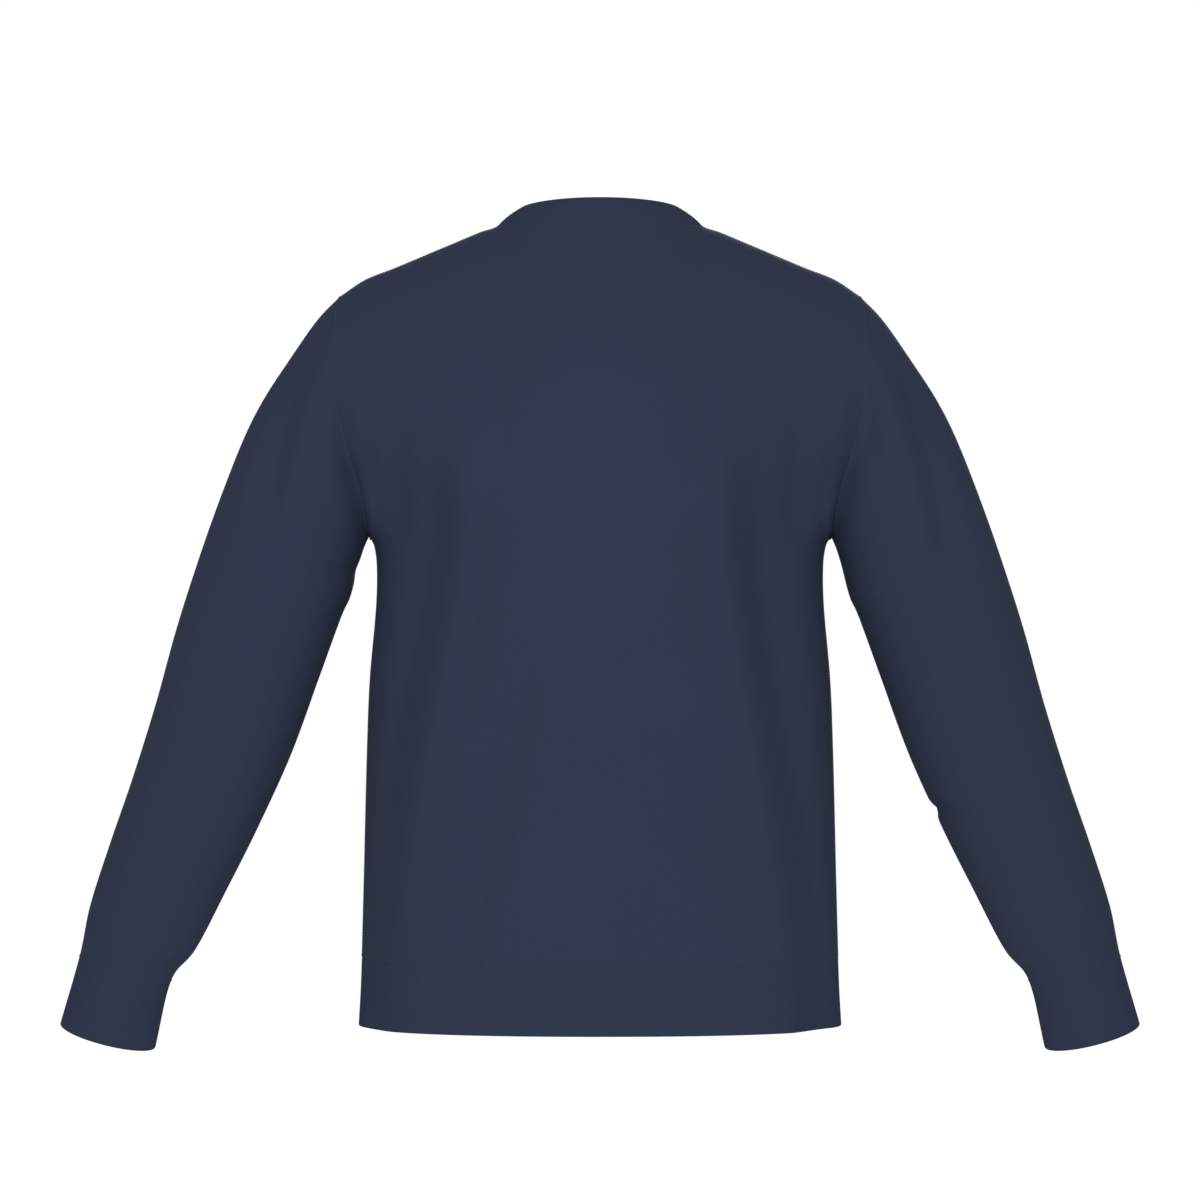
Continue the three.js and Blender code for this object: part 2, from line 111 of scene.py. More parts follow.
# ---- Folds -------------------------------------------------------------------
# Each row is a soft trough down the cloth along a path of points (x, z), in millimetres: its half
# width towards the centre line, its half width away from it, and how deep it sinks.
BACK_FOLDS = (
    (((173, -120), (172, -180), (174, -290)), 15, 18, 6),
    (((-172, -122), (-168, -200), (-167, -290)), 15, 17, 5.5),
    (((52, -315), (70, -428), (84, -505), (104, -581), (114, -680)), 13, 34, 5.5),
    (((92, -225), (100, -301), (109, -352), (116, -450)), 12, 24, 3.5),
    (((-80, -225), (-84, -300), (-88, -390)), 12, 24, 3.5),
)
FRONT_FOLDS = (
    (((170, -124), (170, -190), (172, -288)), 14, 16, 5),
    (((-171, -122), (-169, -190), (-170, -284)), 14, 16, 5),
    (((-48, -320), (-62, -430), (-78, -520), (-92, -680)), 14, 34, 4.5),
    (((60, -380), (70, -470), (86, -580), (92, -680)), 14, 30, 4),
)
SLEEVE_FOLDS = {
    ("left", "back"): (
        (((236, -85), (253, -122), (263, -148), (270, -180), (276, -210), (284, -280)), 15, 17, 8),
        (((233, -122), (235, -165), (237, -222)), 9, 10, 4),
        (((300, -300), (322, -380), (338, -460)), 14, 24, 2.5),
    ),
    ("left", "front"): (
        (((240, -95), (256, -140), (266, -190), (274, -262)), 12, 13, 5),
        (((318, -320), (302, -380), (284, -440)), 15, 17, 3.5),
    ),
    ("right", "back"): (
        (((-236, -85), (-255, -122), (-268, -148), (-277, -190), (-286, -228), (-297, -335)), 15, 18, 8),
        (((-229, -122), (-228, -165), (-228, -225)), 9, 10, 4),
        (((-306, -350), (-326, -420), (-340, -490)), 14, 22, 2),
    ),
    ("right", "front"): (
        (((-240, -92), (-258, -140), (-270, -200), (-281, -284)), 12, 13, 5),
        (((-318, -335), (-304, -390), (-288, -448)), 15, 17, 3.5),
    ),
}
# Each row is a long step where the cloth drops back towards the sides: its steepest line
# (x, z), half its width, and the share of the body's depth that it loses.
BACK_STEPS = (
    (((128, -140), (130, -275), (137, -326), (152, -403), (171, -505), (185, -607), (194, -780)), 18, 0.29),
    (((-119, -145), (-119, -275), (-134, -377), (-152, -479), (-171, -607), (-180, -780)), 18, 0.29),
)
FRONT_STEPS = (
    (((124, -150), (128, -290), (140, -400), (160, -505), (176, -620), (184, -780)), 19, 0.23),
    (((-126, -155), (-130, -300), (-143, -410), (-161, -510), (-174, -620), (-180, -780)), 19, 0.23),
)
# Short tucks where a sleeve's inner edge buckles: place (x, z), reach along and across, depth.
EDGE_TUCKS = {
    "left": ((214, -293, 7, 16, 1.5),),
    "right": ((-278, -497, 5, 24, 3.5),),
}
FOLD_START = 0.3  # share of a fold's length over which it deepens
FOLD_END = 0.3  # share over which it dies out
STEP_START = 0.2  # share of a step's length over which it deepens
FOLD_MARGIN = 12.0  # distance from a seam over which a sleeve's folds die out
SIDE_MARGIN = 24.0  # the same for the body's folds
SLEEVE_TURN = 0.5  # how far a sleeve's face turns to one side before that side's folds are full

# ---- Seams, in millimetres ---------------------------------------------------
ARMHOLE_CREASE = {"z": (-110, -140, -180, -220, -250, -275), "depth": (0, 2.5, 7.5, 8.5, 6, 0)}
CREASE_REACH = 14.0  # how far from the armhole seam its crease reaches
CREASE_SWING = 26.0  # how near the side seam it dies out
SEAM_SINK = 0.06  # how far the cloth is drawn in along a seam
SEAM_REACH = 2.5  # how far from the seam it is drawn in
TUCK = 3.0  # how far a band's upper edge is tucked under its panel
TUCK_DEPTH = 0.9  # how deep that edge lies
TUCK_EDGE = 0.1  # how deep the band already lies at the seam
SIDE_SEAM_Z = (UNDERARM_Z - 4, HEM_SEAM_Z + 1)  # the ends of the side seam's stitches
BEAD_SEGMENTS = 6  # sides and rings of one linking stitch
BEAD_RINGS = 5

# ---- Knit --------------------------------------------------------------------
RIB_PITCH = 2.5  # millimetres
RIB_DEPTH = 0.22
STITCH_LEAN = 0.9  # how far a stitch's legs lean, in courses
LEG_HEIGHT = 0.6  # share of a stitch's height that its legs have all along
YARN_HEIGHT = 0.4  # share that rises and falls with each course
FIBRE_HEIGHT = 0.3
BUMP_HEIGHT = 0.00025  # metres
FIBRE_SCALE = 2600.0
FIBRE_DETAIL = 2.0
CLOUD_SCALE = 9.0
CLOUD_DETAIL = 3.0
SHADE_AND_MOTTLE_SPREAD = 0.16  # how far the colour strays either way, darker for painted shade and for real mottling
SHADE_AND_MOTTLE_SHARES = {"stitch": 0.45, "fibre": 0.35, "cloud": 0.2}  # what makes it stray: the stitches' height paints shade into the grooves between their legs, and the fibre and cloud noise are the yarn's real mottling
CLOTH_FINISH = {"Roughness": 0.95, "Specular_IOR_Level": 0.1, "Sheen_Roughness": 0.5}
YARN_FINISH = {"Roughness": 0.9, "Specular_IOR_Level": 0.2}
YARN_PAINTED_LIGHT = 1.35  # how much lighter the linking yarn is painted than the ribs: painted light against the shade where the bands tuck under the panels
OUT_OF_SLEEVE = -1  # which way round a left sleeve's ring of points faces out
OUT_OF_BAND_UP = -1  # the same for a ring that is stacked upwards

# ---- Camera, light and floor -------------------------------------------------
CLIP_END = 50.0  # metres
FLOOR_RADIUS = 2.2  # metres
FLOOR_SIDES = 96
FLOOR_COLOUR = (0.86, 0.86, 0.86, 1.0)
FLOOR_ROUGHNESS = 0.8
FLOOR_WHITENESS = 0.6  # how white the camera sees its middle
FLOOR_FADE = (0.55, 0.98)  # shares of the radius between which it turns fully white
WHITE = (1.0, 1.0, 1.0, 1.0)
# Place in metres, diameter in metres, and strength in watts for each square metre of distance.
SOFTBOXES = (
    ("Key", (0.1, 4.4, 0.9), 1.4, 5.8),
    ("Front key", (-0.5, -4.2, 1.2), 1.8, 6.0),
    ("Left fill", (4.2, 0.2, 0.8), 1.8, 0.5),
    ("Right fill", (-4.2, 0.2, 0.8), 1.8, 0.5),
)

# ---- Resolution --------------------------------------------------------------
QUARTER_STEPS = 240  # points on a quarter of the neckline or the hem
SECTION_STEPS = 600
ARMHOLE_STEPS = 240
SHOULDER_STEPS = 60
SIDE_STEPS = 120
NECK_COLUMNS = 35
SHOULDER_COLUMNS = 49
HALF_COLUMNS = NECK_COLUMNS + SHOULDER_COLUMNS
TORSO_ROWS = 104
YOKE_ROWS = 84
SLEEVE_SIDES = 168
SLEEVE_ROWS = 190
CUFF_SIDES = 240
POINTS_PER_RIB = 4
HEM_ROWS = 16
COLLAR_ROWS = 12
CUFF_ROWS = 18
EDGE_STEPS = 4
SHARP_ANGLE = math.radians(50)
CLOTH_TABLE = {"step": 2.0, "right": 240.0, "bottom": HEM_EDGE_Z - 10, "top": 50.0}


# ---- Curves ------------------------------------------------------------------
def smooth(t):
    t = np.clip(t, 0.0, 1.0)
    return t * t * (3 - 2 * t)


def lerp(a, b, t):
    return a + (b - a) * t


def through(keys, values, at):
    """A smooth curve through a table, read at an array of places."""
    k, v = np.asarray(keys, float), np.asarray(values, float)
    if k[0] > k[-1]:
        k, v = k[::-1], v[::-1]
    at = np.asarray(at, float)
    i = np.clip(np.searchsorted(k, at, side="right") - 1, 0, len(k) - 2)
    before = np.maximum(np.arange(len(k)) - 1, 0)
    after = np.minimum(np.arange(len(k)) + 1, len(k) - 1)
    slope = (v[after] - v[before]) / (k[after] - k[before])
    span = k[i + 1] - k[i]
    t = np.clip((at - k[i]) / span, 0.0, 1.0)
    rise = lerp(v[i], v[i + 1], t * t * (3 - 2 * t))
    return rise + t * (1 - t) ** 2 * span * slope[i] - t * t * (1 - t) * span * slope[i + 1]


def lengths(points):
    """Distance along rows of points, from 0 at the first."""
    steps = np.linalg.norm(np.diff(points, axis=-2), axis=-1)
    start = np.zeros(steps.shape[:-1] + (1,))
    return np.concatenate([start, np.cumsum(steps, axis=-1)], axis=-1)


# ---- Torso -------------------------------------------------------------------
def ridge_y(z):
    """Where the ridge of the shoulders and the side seams lie."""
    return SHOULDER_Y * smooth((z - UNDERARM_Z) / -UNDERARM_Z)


def torso_depth(x, z, face):
    """Where the back or the front lies at x and z, for x of 0 or more."""
    below = np.maximum(through(SHOULDER_LINE["x"], SHOULDER_LINE["z"], x) - z, 0.0)
    profile = through(np.sqrt(PROFILE["below"]), PROFILE[face], np.sqrt(below))
    share = np.minimum(x / through(TORSO_WIDTH["z"], TORSO_WIDTH["x"], z), 1.0)
    rounding = (1 - share**TORSO_SQUARENESS) ** (1 / TORSO_SQUARENESS)
    return lerp(ridge_y(z), profile, rounding)


def section_x(across, z):
    """across is 0 on the centre line and 1 on the side seam, in even steps of cloth."""
    angles = np.linspace(0, math.pi / 2, SECTION_STEPS)
    width = TORSO_WIDTH["x"][TORSO_WIDTH["z"].index(UNDERARM_Z)]
    x = width * np.sin(angles) ** (2 / TORSO_SQUARENESS)
    outline = np.stack([x, torso_depth(x, np.full_like(x, UNDERARM_Z), "back")], axis=-1)
    along = lengths(outline)
    angle = np.interp(np.asarray(across) * along[-1], along, angles)
    return through(TORSO_WIDTH["z"], TORSO_WIDTH["x"], z) * np.sin(angle) ** (2 / TORSO_SQUARENESS)


def neck_line(turn, face):
    """The neckline seam: turn is 0 on the centre line and 1 at the high shoulder point."""
    angle = np.radians(90 * np.asarray(turn, float))
    return NECK_HALF_WIDTH * np.sin(angle), NECK_Z[face] * np.cos(angle)


def armhole_line(angle, face):
    """The armhole seam at angles from 0 at the shoulder to 180 at the underarm."""
    x = through(ARMHOLE_X["angle"], ARMHOLE_X[face], angle)
    return x, ARMHOLE_MIDDLE_Z + ARMHOLE_HALF_HEIGHT * np.cos(np.radians(angle))


def armhole_points(angles):
    """The left armhole seam all the way round; the angle runs from the shoulder over the back."""
    turned = np.where(angles <= 180, angles, 360 - angles)
    points = {}
    for face in ("back", "front"):
        x, z = armhole_line(turned, face)
        points[face] = np.stack([x, torso_depth(x, z, face), z], axis=-1)
    return np.where((angles <= 180)[:, None], points["back"], points["front"])


def underarm_z(across):
    """Height of the panel's row that ends at the underarm."""
    return UNDERARM_Z - UNDERARM_DIP * (1 - across**8)


def panel_half(face):
    """Rows of points of the left half of a panel, from the hem seam to the shoulder."""
    across = np.linspace(0, 1, HALF_COLUMNS + 1)
    low = underarm_z(across)
    rows = []
    for j in range(TORSO_ROWS):
        z = lerp(HEM_SEAM_Z, low, j / TORSO_ROWS)
        rows.append((section_x(across, z), z))
    neck_share = NECK_COLUMNS / HALF_COLUMNS
    neck_x, neck_z = neck_line(np.minimum(across / neck_share, 1), face)
    along = np.clip((across - neck_share) / (1 - neck_share), 0, 1)
    shoulder_x = lerp(NECK_HALF_WIDTH, SHOULDER_LINE["x"][-1], along)
    on_neck = across <= neck_share
    top_x = np.where(on_neck, neck_x, shoulder_x)
    top_z = np.where(on_neck, neck_z, through(SHOULDER_LINE["x"], SHOULDER_LINE["z"], shoulder_x))
    bottom_x = section_x(across, low)
    for j in range(YOKE_ROWS + 1):
        up = j / YOKE_ROWS
        rise = 1 - (1 - up) ** SHOULDER_CROWDING
        side_x, side_z = armhole_line(180 * (1 - up), face)
        plane = []
        for bottom, top, side in ((bottom_x, top_x, side_x), (low, top_z, side_z)):
            middle = lerp(lerp(bottom[0], top[0], rise), side, across)
            middle = middle + (1 - rise) * (bottom - lerp(bottom[0], bottom[-1], across))
            plane.append(middle + rise * (top - lerp(top[0], top[-1], across)))
        rows.append(tuple(plane))
    x = np.array([row[0] for row in rows])
    z = np.array([row[1] for row in rows])
    points = np.stack([x, torso_depth(np.maximum(x, 0), z, face), z], axis=-1)
    ridge = np.where(on_neck[:-1], points[-1, :-1, 1], SHOULDER_Y)
    points[-1, :-1, 1] = ridge
    points[-1, -1, 1] = SHOULDER_Y
    points[-1, NECK_COLUMNS, 1] = SHOULDER_Y
    return points


def cloth_coordinates(points, face):
    """Knit coordinates of a panel: across from the centre line and up from the hem, on the cloth."""
    step = CLOTH_TABLE["step"]
    xs = np.arange(0, CLOTH_TABLE["right"], step)
    zs = np.arange(CLOTH_TABLE["bottom"], CLOTH_TABLE["top"], step)
    gx, gz = np.meshgrid(xs, zs)
    surface = np.stack([gx, torso_depth(gx, gz, face), gz], axis=-1)
    across = lengths(surface)
    up = lengths(surface.transpose(1, 0, 2)).T
    fx = np.clip(points[..., 0] / step, 0, len(xs) - 1.001)
    fz = np.clip((points[..., 2] - zs[0]) / step, 0, len(zs) - 1.001)
    ix, iz = fx.astype(int), fz.astype(int)
    tx, tz = fx - ix, fz - iz

    def read(table):
        low = lerp(table[iz, ix], table[iz, ix + 1], tx)
        return lerp(low, lerp(table[iz + 1, ix], table[iz + 1, ix + 1], tx), tz)

    return np.stack([read(across), read(up)], axis=-1)


# ---- Sleeves -----------------------------------------------------------------
def section_at(name, place):
    """One size of the sleeve at places along its table of sections."""
    return through(np.arange(len(SLEEVE[name])), SLEEVE[name], place)


def sleeve_rings(places, sides):
    """Rings of the left sleeve at places along its table of sections. Each starts at the
    underarm seam and runs over the front, the outside and the back."""
    angles = (180 + 360 * np.arange(sides) / sides) % 360
    out = (1 + np.cos(np.radians(angles))) / 2
    rear = np.sin(np.radians(angles))

    def oval(at):
        value = {name: section_at(name, at)[:, None] for name in SLEEVE}
        x = lerp(value["in_x"], value["out_x"], out)
        y = value["y"] + value["half_depth"] * rear
        z = lerp(value["in_z"], value["out_z"], out) - value["drop"] * rear
        return np.stack([x, y, z], axis=-1), value["cap"][..., None]

    rings, cap = oval(np.asarray(places, float))
    first, _ = oval(np.zeros(1))
    return rings + cap * (armhole_points(angles)[None] - first), angles


# ---- Folds -------------------------------------------------------------------
def beside(path, x, z):
    """How far along a path x and z lie, from 0 to 1, and how far out from it."""
    line_x, line_z = zip(*path)
    along = (line_z[0] - z) / (line_z[0] - line_z[-1])
    away = (x - through(line_z, line_x, z)) * np.sign(line_x[0])
    return along, away


def fold_depth(folds, x, z):
    """How far the folds sink the cloth at x and z."""
    depth = np.zeros_like(x)
    for path, inner, outer, deep in folds:
        along, away = beside(path, x, z)
        width = np.where(away < 0, inner, outer)
        swell = smooth(along / FOLD_START) * smooth((1 - along) / FOLD_END)
        depth += deep * swell * np.exp(-((away / width) ** 2))
    return depth


def step_share(steps, x, z):
    """The share of the body's depth that is lost at x and z."""
    share = np.zeros_like(x)
    for path, width, deep in steps:
        along, away = beside(path, x, z)
        share += deep * smooth(along / STEP_START) * smooth((away + width) / (2 * width))
    return share


def armhole_crease(points, distance):
    """How the cloth is drawn in along the lower armhole seams, at a distance from the seam."""
    y, z = points[..., 1], points[..., 2]
    deep = through(ARMHOLE_CREASE["z"], ARMHOLE_CREASE["depth"], z)
    deep = deep * smooth(np.abs(y) / CREASE_SWING) * np.exp(-((distance / CREASE_REACH) ** 2))
    return np.stack([np.zeros_like(y), -np.sign(y) * deep, np.zeros_like(y)], axis=-1)


def outward_normals(grid, ring, outward):
    """Unit directions out of a grid of points."""
    if ring:
        across = np.roll(grid, -1, axis=1) - np.roll(grid, 1, axis=1)
    else:
        across = np.gradient(grid, axis=1)
    up = np.gradient(grid, axis=0)
    normals = np.cross(across, up) * outward
    size = np.linalg.norm(normals, axis=-1, keepdims=True)
    return normals / np.maximum(size, 1e-9)


# ---- Walls -------------------------------------------------------------------
def wall_object(name, grid, cloth, ring, outward, wall, round_edge=False):
    """A closed knitted wall as a mesh object: the grid is its outer face, in millimetres, and
    cloth holds its knit coordinates. A rounded edge is the free edge at the last row."""
    normals = outward_normals(grid, ring, outward)
    layers, maps = [grid], [cloth]
    if round_edge:
        beyond = grid[-1] - grid[-2]
        beyond /= np.maximum(np.linalg.norm(beyond, axis=-1, keepdims=True), 1e-9)
        for k in range(1, EDGE_STEPS):
            turn = math.pi * k / EDGE_STEPS
            inward = normals[-1] * wall / 2 * (1 - math.cos(turn))
            layers.append((grid[-1] - inward + beyond * wall / 2 * math.sin(turn))[None])
            maps.append(cloth[-1:])
    layers.append((grid - wall * normals)[::-1])
    maps.append(cloth[::-1])
    skin = np.concatenate(layers)
    coordinates = np.concatenate(maps)
    rows, columns = skin.shape[:2]
    number = np.arange(rows * columns).reshape(rows, columns)
    j, i = np.meshgrid(np.arange(rows), np.arange(columns if ring else columns - 1), indexing="ij")
    next_j, next_i = (j + 1) % rows, i + 1
    corner_j = np.stack([j, j, next_j, next_j], axis=-1).reshape(-1, 4)
    corner_i = np.stack([i, next_i, next_i, i], axis=-1).reshape(-1, 4)
    quads = number[corner_j, corner_i % columns]
    places = coordinates[corner_j, corner_i]
    faces = quads.tolist()
    if not ring:
        # The two side edges are closed by strips between the outer and the inner face.
        inner = rows - 1 - np.arange(grid.shape[0])
        strips, strip_maps = [], []
        for column, flip in ((0, False), (columns - 1, True)):
            for a in range(grid.shape[0] - 1):
                cells = [(a, column), (a + 1, column), (inner[a + 1], column), (inner[a], column)]
                cells = cells[::-1] if flip else cells
                strips.append([int(number[c]) for c in cells])
                strip_maps.append([coordinates[c] for c in cells])
        faces += strips
        places = np.concatenate([places, np.array(strip_maps)])
    if outward < 0:
        faces = [face[::-1] for face in faces]
        places = places[:, ::-1]
    mesh = bpy.data.meshes.new(name)
    mesh.from_pydata((skin.reshape(-1, 3) * MM).tolist(), [], faces)
    mesh.uv_layers.new(name="Knit").data.foreach_set("uv", (places * MM).reshape(-1))
    mesh.validate()
    mesh.shade_smooth()
    mesh.set_sharp_from_angle(angle=SHARP_ANGLE)
    piece = bpy.data.objects.new(name, mesh)
    bpy.context.scene.collection.objects.link(piece)
    return piece


# ---- Shader maths ------------------------------------------------------------
class Value:
    """A number in a shader, with its arithmetic written as Python expressions."""

    def __init__(self, shader, socket):
        self.shader = shader
        self.socket = socket

    def _math(self, operation, *others):
        return self.shader.node("ShaderNodeMath", {"operation": operation}, *others)[0]

    def __add__(self, other):
        return self._math("ADD", self, other)

    def __sub__(self, other):
        return self._math("SUBTRACT", self, other)

    def __mul__(self, other):
        return self._math("MULTIPLY", self, other)

    def __truediv__(self, other):
        return self._math("DIVIDE", self, other)

    def __radd__(self, other):
        return self._math("ADD", other, self)

    def __rsub__(self, other):
        return self._math("SUBTRACT", other, self)

    def __rmul__(self, other):
        return self._math("MULTIPLY", other, self)

    def sine(self):
        return self._math("SINE", self)

    def fraction(self):
        return self._math("FRACT", self)

    def size(self):
        return self._math("ABSOLUTE", self)

    def larger(self, other):
        return self._math("MAXIMUM", self, other)

    def power(self, other):
        return self._math("POWER", self, other)


class Shader:
    """Builds the nodes of a material or of the surroundings."""

    def __init__(self, owner):
        owner.use_nodes = True
        self.owner = owner
        self.tree = owner.node_tree
        self.tree.nodes.clear()

    def node(self, kind, settings=None, *values, **named):
        """Adds a node, sets it up, and links or sets its inputs by place or by name."""
        made = self.tree.nodes.new(kind)
        for key, setting in (settings or {}).items():
            setattr(made, key, setting)
        for key, value in [*enumerate(values), *named.items()]:
            socket = made.inputs[key if isinstance(key, int) else key.replace("_", " ")]
            if isinstance(value, Value):
                self.tree.links.new(value.socket, socket)
            else:
                socket.default_value = value
        return [Value(self, output) for output in made.outputs]

    def named(self, kind):
        """Adds a node without inputs, and gives its outputs by name."""
        return {output.socket.name: output for output in self.node(kind)}

    def mix(self, share, first, second):
        """A colour between two."""
        mixed = self.tree.nodes.new("ShaderNodeMix")
        mixed.data_type = "RGBA"
        kinds = [socket for socket in mixed.inputs if socket.type == "RGBA"]
        self.tree.links.new(share.socket, mixed.inputs[0])
        kinds[0].default_value = first
        kinds[1].default_value = second
        return Value(self, next(o for o in mixed.outputs if o.type == "RGBA"))

    def surface(self, shading):
        self.node("ShaderNodeOutputMaterial", None, shading)
        return self.owner


def linear(colour):
    """A written colour as the numbers that a shader takes."""
    return tuple(c / 12.92 if c <= 0.04045 else ((c + 0.055) / 1.055) ** 2.4 for c in colour) + (1.0,)


def mottled_and_shaded(shader, colour, shade_and_mottle):
    """The yarn's colour, darker and lighter with a share from 0 to 1 that holds real mottling and, on the
    knit, painted shade in the grooves.
    """
    shades = []
    for strength in (1 - SHADE_AND_MOTTLE_SPREAD, 1 + SHADE_AND_MOTTLE_SPREAD):
        shades.append(tuple(channel * strength for channel in colour[:3]) + (1.0,))
    return shader.mix(shade_and_mottle, *shades)


def noise(shader, place, scale, detail):
    return shader.node("ShaderNodeTexNoise", None, place, Scale=scale, Detail=detail)[0]


def knit_material(name, colour, settings):
    """Matte knit: V-shaped stitches in wales and courses, in the piece's own knit coordinates, with painted
    shade darkening the grooves between them.
    """
    shader = Shader(bpy.data.materials.new(name))
    place = shader.node("ShaderNodeUVMap", {"uv_map": "Knit"})[0]
    x, y, _ = shader.node("ShaderNodeSeparateXYZ", None, place)
    side = (((x / settings.wale).fraction() - 0.5) * 2).size()
    lean = y / settings.course + side * STITCH_LEAN
    yarn = (lean * (2 * math.pi)).sine() * 0.5 + 0.5
    leg = (side * math.pi).sine()
    height = leg * LEG_HEIGHT + yarn * leg * YARN_HEIGHT
    fibre = noise(shader, place, FIBRE_SCALE, FIBRE_DETAIL)
    cloud = noise(shader, place, CLOUD_SCALE, CLOUD_DETAIL)
    # Painted shade: the low grooves between the stitches' legs are coloured darker; the fibre and cloud
    # noise are real mottling of the yarn.
    shade_and_mottle = height * SHADE_AND_MOTTLE_SHARES["stitch"] + fibre * SHADE_AND_MOTTLE_SHARES["fibre"] + cloud * SHADE_AND_MOTTLE_SHARES["cloud"]
    bump = shader.node(
        "ShaderNodeBump", None,
        Strength=settings.relief, Distance=BUMP_HEIGHT, Height=height + fibre * FIBRE_HEIGHT,
    )[0]
    cloth = shader.node(
        "ShaderNodeBsdfPrincipled", None,
        Base_Color=mottled_and_shaded(shader, colour, shade_and_mottle), Sheen_Weight=settings.sheen, Normal=bump,
        **CLOTH_FINISH,
    )[0]
    return shader.surface(cloth)


def thread_material(name, colour):
    """The linking yarn, with fine fibres."""
    shader = Shader(bpy.data.materials.new(name))
    place = shader.named("ShaderNodeTexCoord")["Object"]
    fibre = noise(shader, place, FIBRE_SCALE, FIBRE_DETAIL)
    thread = shader.node(
        "ShaderNodeBsdfPrincipled", None, Base_Color=mottled_and_shaded(shader, colour, fibre), **YARN_FINISH
    )[0]
    return shader.surface(thread)


# ---- Pieces ------------------------------------------------------------------
def finish_piece(piece, node, material, cloth, area):
    """Dresses a piece, ties it to the root and hides its imported node; it works out the size of its cut
    but does not return it.
    """
    cut = (np.ptp(cloth[..., 0]) * MM, np.ptp(cloth[..., 1]) * MM)
    piece.data.materials.append(material)
    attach(piece, "root")
    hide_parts(node)


def flat_area(grid, ring):
    """Area of a grid of points in square metres."""
    points = np.concatenate([grid, grid[:, :1]], axis=1) if ring else grid
    one = points[1:, 1:] - points[:-1, :-1]
    two = points[1:, :-1] - points[:-1, 1:]
    return float(np.linalg.norm(np.cross(one, two), axis=-1).sum() / 2) * MM * MM


def panel_grid(face):
    """Both halves of a panel with its folds pressed in, and its knit coordinates."""
    half = panel_half(face)
    cloth = cloth_coordinates(half, face)
    grid = np.concatenate([half[:, :0:-1] * MIRROR, half], axis=1)
    cloth = np.concatenate([cloth[:, :0:-1] * MIRROR[:2], cloth], axis=1)
    outward = -1 if face == "back" else 1
    normals = outward_normals(grid, False, outward)
    from_top = lengths(half[::-1].transpose(1, 0, 2)).T[::-1]
    from_top = np.concatenate([from_top[:, :0:-1], from_top], axis=1)
    from_low = lengths(grid.transpose(1, 0, 2)).T
    along = lengths(grid)
    to_side = np.minimum(along, along[:, -1:] - along)
    near = np.minimum(from_top, to_side)
    below = smooth((UNDERARM_Z - grid[..., 2]) / SIDE_MARGIN)
    fade = smooth(near / SIDE_MARGIN)
    folds, steps = (BACK_FOLDS, BACK_STEPS) if face == "back" else (FRONT_FOLDS, FRONT_STEPS)
    depth = fold_depth(folds, grid[..., 0], grid[..., 2]) * fade
    lost = step_share(steps, grid[..., 0], grid[..., 2]) * lerp(fade, 1, below)
    lost = lost[..., None] * grid * np.array([0.0, 1.0, 0.0])
    depth += SEAM_SINK * np.exp(-((np.minimum(near, from_low) / SEAM_REACH) ** 2))
    above = lerp(1, 0, smooth((UNDERARM_Z - grid[..., 2]) / CREASE_REACH))
    creased = armhole_crease(grid, to_side) * above[..., None]
    return grid + creased - lost - normals * depth[..., None], cloth, outward


def sleeve_grid(side):
    """A sleeve's rings with its folds pressed in. side is "left" or "right"."""
    places = np.linspace(0, CUFF_SEAM_SECTION, SLEEVE_ROWS + 1)
    grid, angles = sleeve_rings(places, SLEEVE_SIDES)
    sign = 1 if side == "left" else -1
    grid = grid * np.array([sign, 1.0, 1.0])
    normals = outward_normals(grid, True, OUT_OF_SLEEVE * sign)
    down = lengths(grid.transpose(1, 0, 2)).T
    near = np.minimum(down, down[-1:] - down)
    rear = np.sin(np.radians(angles))
    depth = np.zeros(grid.shape[:2])
    for face, sees in (("back", rear), ("front", -rear)):
        here = fold_depth(SLEEVE_FOLDS[side, face], grid[..., 0], grid[..., 2])
        depth += here * smooth(sees / SLEEVE_TURN)
    for x, z, reach, width, deep in EDGE_TUCKS[side]:
        across, up = grid[..., 0] - x, grid[..., 2] - z
        depth += deep * np.exp(-((up / reach) ** 2) - (across / width) ** 2)
    depth = depth * smooth(near / FOLD_MARGIN) + SEAM_SINK * np.exp(-((near / SEAM_REACH) ** 2))
    ring = np.concatenate([grid, grid[:, :1]], axis=1)
    around = lengths(ring)
    middle = around - around[:, -1:] / 2
    cloth = np.stack([middle, -np.concatenate([down, down[:, :1]], axis=1)], axis=-1)
    creased = armhole_crease(np.broadcast_to(grid[:1], grid.shape), down)
    return grid + creased - normals * depth[..., None], cloth, OUT_OF_SLEEVE * sign


def tucked(rings, outward):
    """Adds a ring that goes on past a band's seam, under the cloth it is linked to."""
    normals = outward_normals(rings, True, outward)[0]
    back = rings[0] - rings[1]
    back /= np.linalg.norm(back, axis=-1, keepdims=True)
    under = rings[0] + back * TUCK - normals * TUCK_DEPTH
    first = rings[0] - normals * TUCK_EDGE
    return np.concatenate([under[None], first[None], rings[1:]])


def rib_count(ring):
    closed = np.concatenate([ring, ring[:1]])
    return int(round(lengths(closed)[-1] / RIB_PITCH))


def even_ring(ring, columns):
    """The same ring with evenly spaced points."""
    closed = np.concatenate([ring, ring[:1]])
    along = lengths(closed)
    wanted = np.arange(columns) / columns * along[-1]
    return np.stack([np.interp(wanted, along, closed[:, k]) for k in range(3)], axis=-1)


